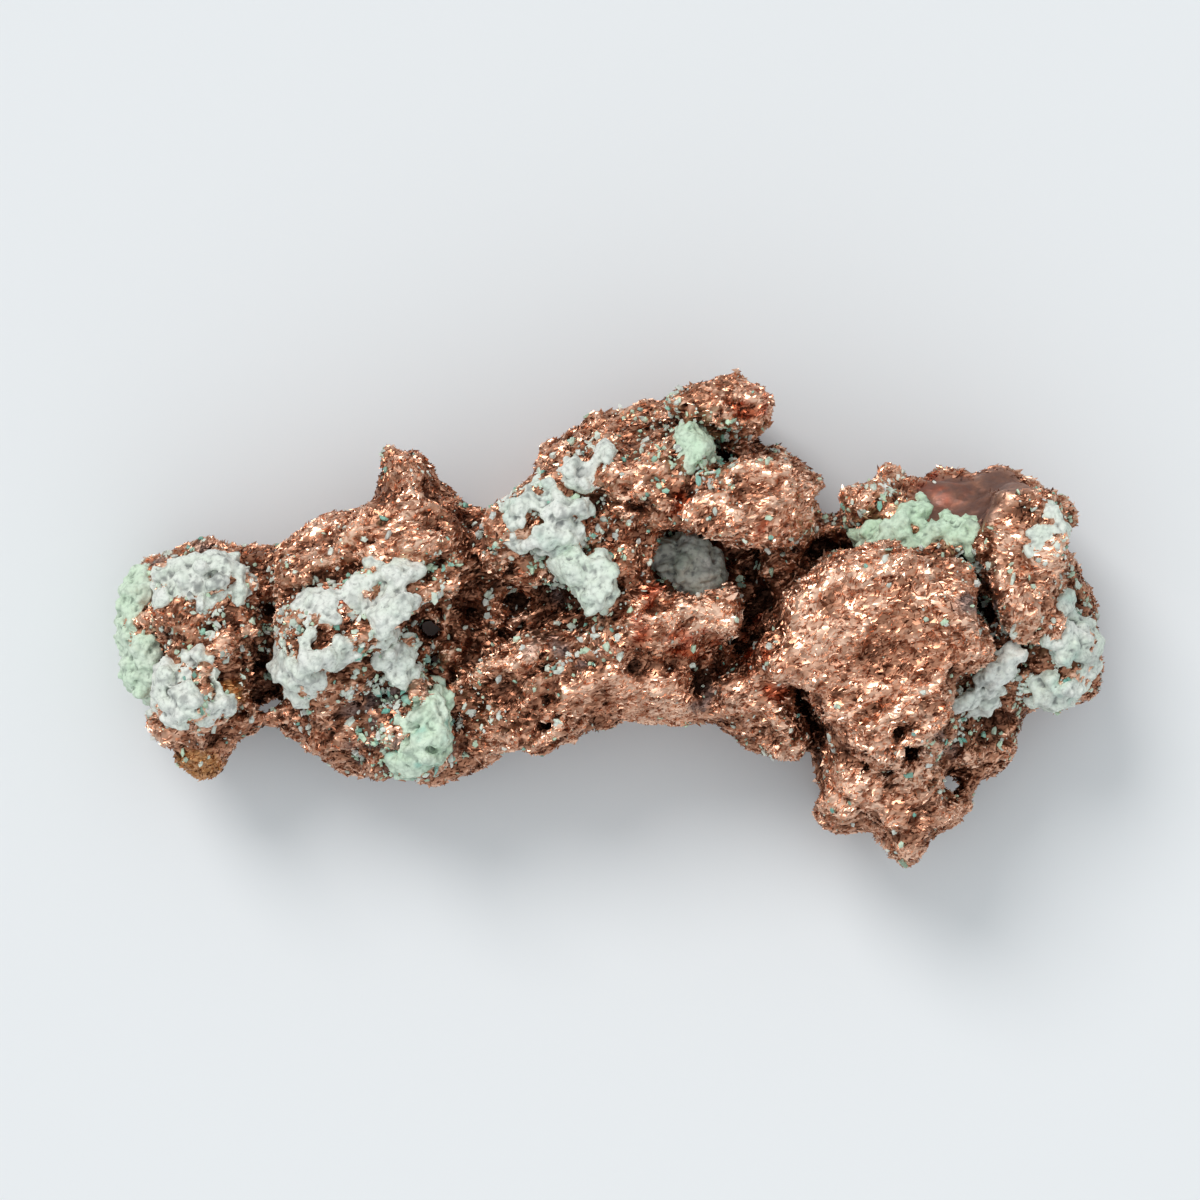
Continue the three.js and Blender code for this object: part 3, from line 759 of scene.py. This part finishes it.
def bored(mesh):
    # the mesh less an upright column at each hole that lets the light through
    middle = np.array([place + (9.0,) for place, reach in copperHoles])
    size = np.array([reach + (30.0,) for place, reach in copperHoles])
    upright = np.tile((0.0, 0.0, 1.0), (len(middle), 1))
    points, faces = blockGrains(middle, upright, size, 1.0, 12, 7, lean=0.0)
    thing = bpy.data.objects.new("work", mesh)
    tool = bpy.data.objects.new("tool", meshFrom("tool", points, faces))
    for made in (thing, tool):
        bpy.context.scene.collection.objects.link(made)
    cut = thing.modifiers.new("holes", "BOOLEAN")
    cut.operation = "DIFFERENCE"
    cut.solver = "MANIFOLD"
    cut.object = tool
    left = modifiedMesh(thing)
    bpy.data.meshes.remove(tool.data)
    bpy.data.meshes.remove(mesh)
    return left


def copperMasks(points, normals, edges):
    # depth below the eased surface, broad and fine, sets the painted shade of the hollows and darkens the
    # tone; the rest are places and noise
    broad = depthBelow(points, normals, edges, copperForm["broadRounds"])
    fine = depthBelow(points, normals, edges, copperForm["fineRounds"])
    # painted shadow spots in the crevices
    creviceShadow = placesOf(points, "creviceShadow")
    dull = placesOf(points, "dull")
    cloud = noiseField(points, 2.2, 51)
    patch = noiseField(points, 5.2, 52)
    # painted shade: surfaces that face down are darkened
    undersideShade = smoothStep(-normals[:, 2], -0.35, 0.5)
    # painted shade: the hollows and shadowed crevices turned black-brown by their depth
    hollow = smoothStep(0.7 * broad + 1.4 * fine + 0.2 * creviceShadow + 0.3 * cloud, 0.2, 0.85)
    # tone: random clouds and patches, less painted shade in hollows, crevices and on the underside, plus
    # painted highlight on the raised sheets
    toneShadeHighlight = 0.34 - 0.4 * broad - 1.2 * fine + 0.34 * cloud + 0.42 * patch
    toneShadeHighlight += 0.2 * placesOf(points, "sheetHighlight") + 0.14 * placesOf(points, "strongHighlight")
    toneShadeHighlight -= 0.12 * creviceShadow + 0.2 * undersideShade
    grey = placesOf(points, "grey") * smoothStep(noiseField(points, 1.7, 57), -0.05, 0.35)
    return {
        "hollow": np.clip(hollow, 0, 0.95),
        "toneShadeHighlight": np.clip(toneShadeHighlight, 0, 1),
        "red": 0.85 * placesOf(points, "red") * smoothStep(noiseField(points, 1.6, 53), -0.12, 0.25),
        "dull": dull * (0.72 + 0.7 * noiseField(alongFlow(points), 0.32, 58)),
        "gold": 0.7 * placesOf(points, "gold"),
        "grey": 0.75 * grey,
        "matt": 0.22 * np.maximum(dull, grey) + 0.25 * hollow,
        "lively": 1 - 0.75 * dull,
    }


crustNodes = [name for name in sorted(frame["nodes"]) if name != "copper"]
copperMesh = drawnCopper()
ridgeCopper(copperMesh)
copperMesh = remeshed(bored(copperMesh), copperForm["skinVoxel"])
pitCopper(copperMesh)
copperPoints = readPoints(copperMesh)
copperNormals = readNormals(copperMesh)
copperFaces = readTriangles(copperMesh)
masks = copperMasks(copperPoints, copperNormals, readEdges(copperMesh))
for name, values in masks.items():
    writeMask(copperMesh, name, values)
copperBody = finishPiece("copper_body", copperMesh, copperMetal)
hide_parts("copper")
print("copper body:", triangleCount(copperMesh), "triangles")


# crusts: blocky grains on the crust's own solid, drawn together into one skin

crustForm = {
    "coreVoxel": 0.35,
    "voxel": 0.2,
    "perArea": 4.5,          # grains on each square millimetre
    "radius": (0.12, 0.6),
    "smallness": 2.3,        # power on the radius's random share, so that most grains are small
    "squareness": 0.6,
    "rings": (8, 5),         # corners round a grain, and rings up it
    "bareDepth": -1.1,       # where a crust has worn through, its solid drops this far
    "keepLevel": 0.07,       # a higher level leaves more of each crust
    "pimple": (0.46, 0.1),   # size and height of the fine swellings
    "creaseRounds": (14, 3),
}

# how each crust differs from the common white, close-grained one
crustCommon = {"mint": 0.1, "teal": 0.0, "worn": 0.0, "grain": 1.0, "dirt": 0.5, "swell": 0.0}
crustLooks = {
    "left_end_crust": {"mint": 0.45, "grain": 0.7, "dirt": 0.1, "worn": -0.3, "swell": 0.2},
    "left_top_crust": {"dirt": 0.9, "worn": 0.05},
    "left_low_crust": {"dirt": 0.7, "worn": 0.05},
    "shoulder_crust": {"grain": 1.2, "dirt": 0.45, "worn": 0.05, "swell": -0.1},
    "belly_crust": {"mint": 0.5, "teal": 0.6, "worn": 0.03, "grain": 0.75, "swell": 0.1},
    "crest_crust": {"mint": 0.65, "grain": 0.5, "dirt": 0.1, "swell": 0.6},
    "bridge_crust": {"mint": 0.75, "grain": 0.85, "worn": -0.1, "swell": 0.3},
    "cavity_crust": {"mint": 0.3, "dirt": 0.0, "worn": -0.3, "swell": 0.8},
    "tongue_crust": {"mint": 0.45, "dirt": 0.2, "swell": 0.2},
    "saddle_crust": {"teal": 0.15, "dirt": 0.7},
    "shoulder_face_crust": {"mint": 0.3, "grain": 0.55, "dirt": 0.1, "worn": -0.3, "swell": 0.35},
    "right_end_crust": {"mint": 0.25, "teal": 0.25, "grain": 1.1, "dirt": 0.35, "swell": 0.05},
    "plate_edge_crust": {"mint": 0.02, "dirt": 0.6, "worn": 0.02, "swell": 0.1},
}


def crustSkin(node, look):
    # the solid, sunk where it has worn through, with grains spread over the rest, drawn again as one skin
    form = crustForm
    core = remeshed(mergedCopy(node), form["coreVoxel"])
    points, faces = smoothed(readPoints(core), readEdges(core), 2), readTriangles(core)
    points[:, 2] += smoothStep(readNormals(core)[:, 2], -0.2, 0.4) * sheetRise(points)
    writePoints(core, points)
    left = noiseField(points, 2.6, 87) + 0.7 * noiseField(points, 1.1, 88)
    kept = smoothStep(left - 2 * look["worn"] + form["keepLevel"], -0.05, 0.12)
    points += look["swell"] * readNormals(core)
    sunk = points + readNormals(core) * (form["bareDepth"] * (1 - kept))[:, None]
    count = int(faceAreas(points, faces).sum() * form["perArea"])
    _, place, normal = scatter(points, faces, kept[faces[:, 0]] + 1e-6, count)
    low, high = form["radius"]
    radius = look["grain"] * (low + (high - low) * dice.random(count) ** form["smallness"])
    size = radius[:, None] * dice.uniform(0.7, 1.25, (count, 3))
    middle = place + normal * (0.6 * radius - 0.12)[:, None]
    grains = blockGrains(middle, normal, size, form["squareness"], *form["rings"])
    bpy.data.meshes.remove(core)
    return remeshed(joinedMesh(node + "_work", [(sunk, faces), grains]), form["voxel"])


def makeCrustPiece(node, slot):
    # the skin with fine swellings; masks for painted shade in creases by depth, dirt, mint and turquoise by
    # noise
    look = {**crustCommon, **crustLooks.get(node, {})}
    mesh = crustSkin(node, look)
    points = readPoints(mesh)
    pimple, height = crustForm["pimple"]
    cell = cellField(points, pimple, 81)
    relief = height * (0.45 - cell) + 0.09 * noiseField(points, 0.34, 83)
    points = aboveFloor(points + readNormals(mesh) * relief[:, None])
    writePoints(mesh, points)
    edges, normals = readEdges(mesh), readNormals(mesh)
    depth, fine = (depthBelow(points, normals, edges, rounds) for rounds in crustForm["creaseRounds"])
    # painted shade in the creases, from depth below the eased skin
    creaseShadeAndDirt = smoothStep(depth + 2.2 * fine + 0.16 * (cell - 0.55), 0.05, 0.25)
    dirtCloud = noiseField(points, 1.8, 85) + 0.9 * noiseField(points, 0.5, 86)
    dirt = look["dirt"] * smoothStep(dirtCloud, 0.12, 0.5)
    tealCloud = noiseField(points, 2.2, 89) + 0.4 * noiseField(points, 0.7, 90)
    teal = look["teal"] * smoothStep(tealCloud, 0.05, 0.4)
    # painted crease shade and dirt in one mask
    writeMask(mesh, "creaseShadeAndDirt", np.clip(0.88 * np.maximum(creaseShadeAndDirt, dirt), 0, 1))
    writeMask(mesh, "mint", np.clip(look["mint"] + 0.5 * noiseField(points, 1.9, 84), 0, 1))
    writeMask(mesh, "teal", np.clip(teal, 0, 1))
    piece = finishPiece(node + "_skin", mesh, crustMineral[slot])
    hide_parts(node)
    return mesh


slotOf = {row["node"]: row["material_slot"] for row in frame["record"]["subparts"]}
crustMeshes = [makeCrustPiece(node, slotOf[node]) for node in crustNodes]
print("crusts:", sum(triangleCount(mesh) for mesh in crustMeshes), "triangles")


# hackles: small leaves of metal standing out of the copper

hackleForm = {
    "pieces": 3,
    "count": 30000,          # leaves in each piece
    "length": (0.22, 0.72),
    "width": (0.13, 0.30),
    "height": (0.09, 0.26),
    "tilt": 0.5,
    "toneSpread": 0.17,
}

# a leaf: tip, tail and two sides, as four triangles
leafPoints = np.array([[0.5, 0, 0.5], [-0.5, 0, 0.3], [0.05, 0.5, -0.4], [0, -0.5, -0.4]])
leafFaces = np.array([[0, 2, 1], [0, 1, 3], [0, 3, 2], [1, 2, 3]])

# spurs: fewer and larger leaves along the rims and crests, which tear the outline
spurForm = {
    "count": 4000,
    "length": (0.35, 0.9),
    "width": (0.24, 0.5),
    "height": (0.2, 0.5),
    "tilt": 0.8,
    "toneSpread": 0.15,
}


def makeLeaves(name, form, weight):
    # leaves on the copper: the leaf above with its corners jittered, sized, and turned along the fibres
    count = form["count"]
    chosen, place, normal = scatter(copperPoints, copperFaces, weight, count)
    corner = copperFaces[chosen, 0]
    normal = unit(normal + copperNormals[corner] + form["tilt"] * dice.normal(size=(count, 3)))
    way = np.array(copperForm["flow"]) + 1.6 * noiseVector(place, 4.5, 71)
    way += 0.45 * dice.normal(size=(count, 3))
    turn = frameOn(normal, way)
    size = np.stack([dice.uniform(*form[key], count) for key in ("length", "width", "height")], axis=1)
    shape = (leafPoints[None] + 0.12 * dice.normal(size=(count, 4, 3))) * size[:, None, :]
    points = aboveFloor(place[:, None, :] + np.einsum("nij,nkj->nki", turn, shape))
    faces = leafFaces[None] + 4 * np.arange(count)[:, None, None]
    mesh = meshFrom(name, points.reshape(-1, 3), faces.reshape(-1, 3))
    for mask, values in masks.items():
        own = values[corner]
        if mask == "toneShadeHighlight":
            own = np.clip(own + form["toneSpread"] * dice.normal(size=count), 0, 1)
        writeMask(mesh, mask, np.repeat(own, 4))
    finishPiece(name, mesh, copperMetal, smooth=False)
    print(name, triangleCount(mesh), "triangles")


middles = copperPoints[copperFaces].mean(1)
firstCorners = copperFaces[:, 0]
faceUp = copperNormals[firstCorners, 2]
hackleWeight = (1 - placesOf(middles, "dull")) * (0.3 + 0.7 * (faceUp > -0.1))
hackleWeight *= middles[:, 2] > copperForm["footClear"]
for index in range(hackleForm["pieces"]):
    makeLeaves(f"copper_hackles_{index + 1}", hackleForm, hackleWeight)
rim = smoothStep(0.75 - np.abs(faceUp), 0, 0.5) * (1 - masks["hollow"][firstCorners])
makeLeaves("copper_spurs", spurForm, hackleWeight * (0.06 + rim * masks["toneShadeHighlight"][firstCorners]))


# crumbs: single grains of the crusts' minerals lying on the copper

crumbForm = {
    "pale_crust": {"count": 3800, "mint": (0.0, 0.6), "teal": 0.04, "radius": (0.07, 0.36), "seed": 91},
    "green_crust": {"count": 3400, "mint": (0.4, 1.0), "teal": 0.22, "radius": (0.06, 0.32), "seed": 95},
}
crumbShape = {
    "smallness": 2.6,        # power on the radius's random share
    "stretch": ((0.8, 0.6, 0.4), (1.9, 1.2, 0.8)),  # least and most, along the surface, across and out of it
    "lift": 0.06,
    "squareness": 0.9,
    "rings": (5, 2),
}


def makeCrumbs(slot, near):
    # grains in clusters, most near a crust: small five-sided super-ellipsoids, flat on the surface
    form = crumbForm[slot]
    count, seed = form["count"], form["seed"]
    cluster = smoothStep(noiseField(middles, 3.4, seed) + noiseField(middles, 1.0, seed + 1), 0.2, 0.5)
    weight = (0.04 + cluster) * (0.2 + smoothStep(4.5 - near, 0, 4) + placesOf(middles, "grey"))
    weight *= (1 - placesOf(middles, "dull")) * (1 - 0.75 * placesOf(middles, "sheetHighlight"))
    weight *= (faceUp > -0.2) & (middles[:, 2] > copperForm["footClear"])
    _, place, normal = scatter(copperPoints, copperFaces, weight, count)
    low, high = form["radius"]
    radius = low + (high - low) * dice.random(count) ** crumbShape["smallness"]
    size = radius[:, None] * dice.uniform(*crumbShape["stretch"], (count, 3))
    middle = place + normal * crumbShape["lift"]
    points, faces = blockGrains(middle, normal, size, crumbShape["squareness"], *crumbShape["rings"])
    mesh = meshFrom(slot + "_crumbs", aboveFloor(points), faces)
    each = len(points) // count
    mint = dice.uniform(*form["mint"], count)
    teal = 0.85 * (dice.random(count) < form["teal"]) * dice.uniform(0.5, 1, count)
    creaseShadeAndDirt = 0.5 * dice.random(count) ** 3
    for name, values in (("mint", mint), ("teal", teal), ("creaseShadeAndDirt", creaseShadeAndDirt)):
        writeMask(mesh, name, np.repeat(values, each))
    finishPiece(slot + "_crumbs", mesh, crustMineral[slot], smooth=False)
    print(slot, "crumbs:", triangleCount(mesh), "triangles")


crustCorners = np.concatenate([readPoints(frame["nodes"][name].data) for name in crustNodes])
nearCrust = nearestDistance(middles, crustCorners, 6.0)
for slot in crumbForm:
    makeCrumbs(slot, nearCrust)


# floor, light and camera

stage = {
    "floorSide": 4.0,
    "floorColour": (0.83, 0.855, 0.87),
    "sunFrom": (-0.42, 0.66, 0.85),
    "sunStrength": 1.29,
    "sunColour": (1.0, 0.96, 0.94),
    "sunAngle": 0.45,
    "glintStrength": 1.1,              # a second sun that only the metal's shine answers to
    "skyFrom": (0.06, -0.18, 0.95),    # brightest part of the sky
    "skyLevels": (0.12, 1.01),
    "skyColour": (0.955, 0.995, 1.02),
    "lens": 160.0,
    "sensorWidth": 36.0,
    "frameWidth": 97.2,   # width of the picture at the nugget's half height, in millimetres
    "aim": (-0.95, 1.72, 9.0),
}


def makeFloor():
    half = stage["floorSide"] / 2 / mm
    corners = np.array([[-half, -half, 0], [half, -half, 0], [half, half, 0], [-half, half, 0]])
    mesh = meshFrom("floor", corners, np.array([[0, 1, 2, 3]]))
    material, _, shader = newMaterial("floor_paper")
    shader.inputs["Base Color"].default_value = stage["floorColour"] + (1,)
    shader.inputs["Roughness"].default_value = 0.9
    shader.inputs["Specular IOR Level"].default_value = 0.1
    mesh.materials.append(material)
    floor = bpy.data.objects.new("floor", mesh)
    bpy.context.scene.collection.objects.link(floor)


def makeLight():
    # a soft sun, its twin for the shine, and a sky that fades by the cosine from its bright part
    for name, strength in (("key_sun", stage["sunStrength"]), ("glint_sun", stage["glintStrength"])):
        lamp = bpy.data.lights.new(name, "SUN")
        lamp.energy = strength
        lamp.color = stage["sunColour"]
        lamp.angle = stage["sunAngle"]
        sun = bpy.data.objects.new(name, lamp)
        sun.rotation_euler = Vector(stage["sunFrom"]).to_track_quat("Z", "Y").to_euler()
        sun.visible_diffuse = name == "key_sun"
        bpy.context.scene.collection.objects.link(sun)
    world = bpy.data.worlds.new("studio")
    world.use_nodes = True
    tree = world.node_tree
    sky = tree.nodes["Background"]
    sky.inputs["Color"].default_value = stage["skyColour"] + (1,)
    low, high = stage["skyLevels"]
    way = addNode(tree, "TexCoord")
    toward = addNode(tree, "VectorMath", {1: Vector(stage["skyFrom"]).normalized()}, operation="DOT_PRODUCT")
    level = addNode(tree, "MapRange", {"From Min": 0.0, "From Max": 1.0, "To Min": low, "To Max": high})
    tree.links.new(way.outputs["Generated"], toward.inputs[0])
    tree.links.new(toward.outputs["Value"], level.inputs["Value"])
    tree.links.new(level.outputs["Result"], sky.inputs["Strength"])
    bpy.context.scene.world = world


def makeCamera():
    lens = bpy.data.cameras.new("camera")
    lens.lens = stage["lens"]
    lens.sensor_width = stage["sensorWidth"]
    camera = bpy.data.objects.new("camera", lens)
    x, y, z = stage["aim"]
    away = stage["frameWidth"] * stage["lens"] / lens.sensor_width
    camera.location = (x * mm, y * mm, (z + away) * mm)
    lens.clip_start = 0.01
    bpy.context.scene.collection.objects.link(camera)
    bpy.context.scene.camera = camera


makeFloor()
makeLight()
makeCamera()
bpy.context.scene.view_settings.view_transform = "Standard"
print("stage set")
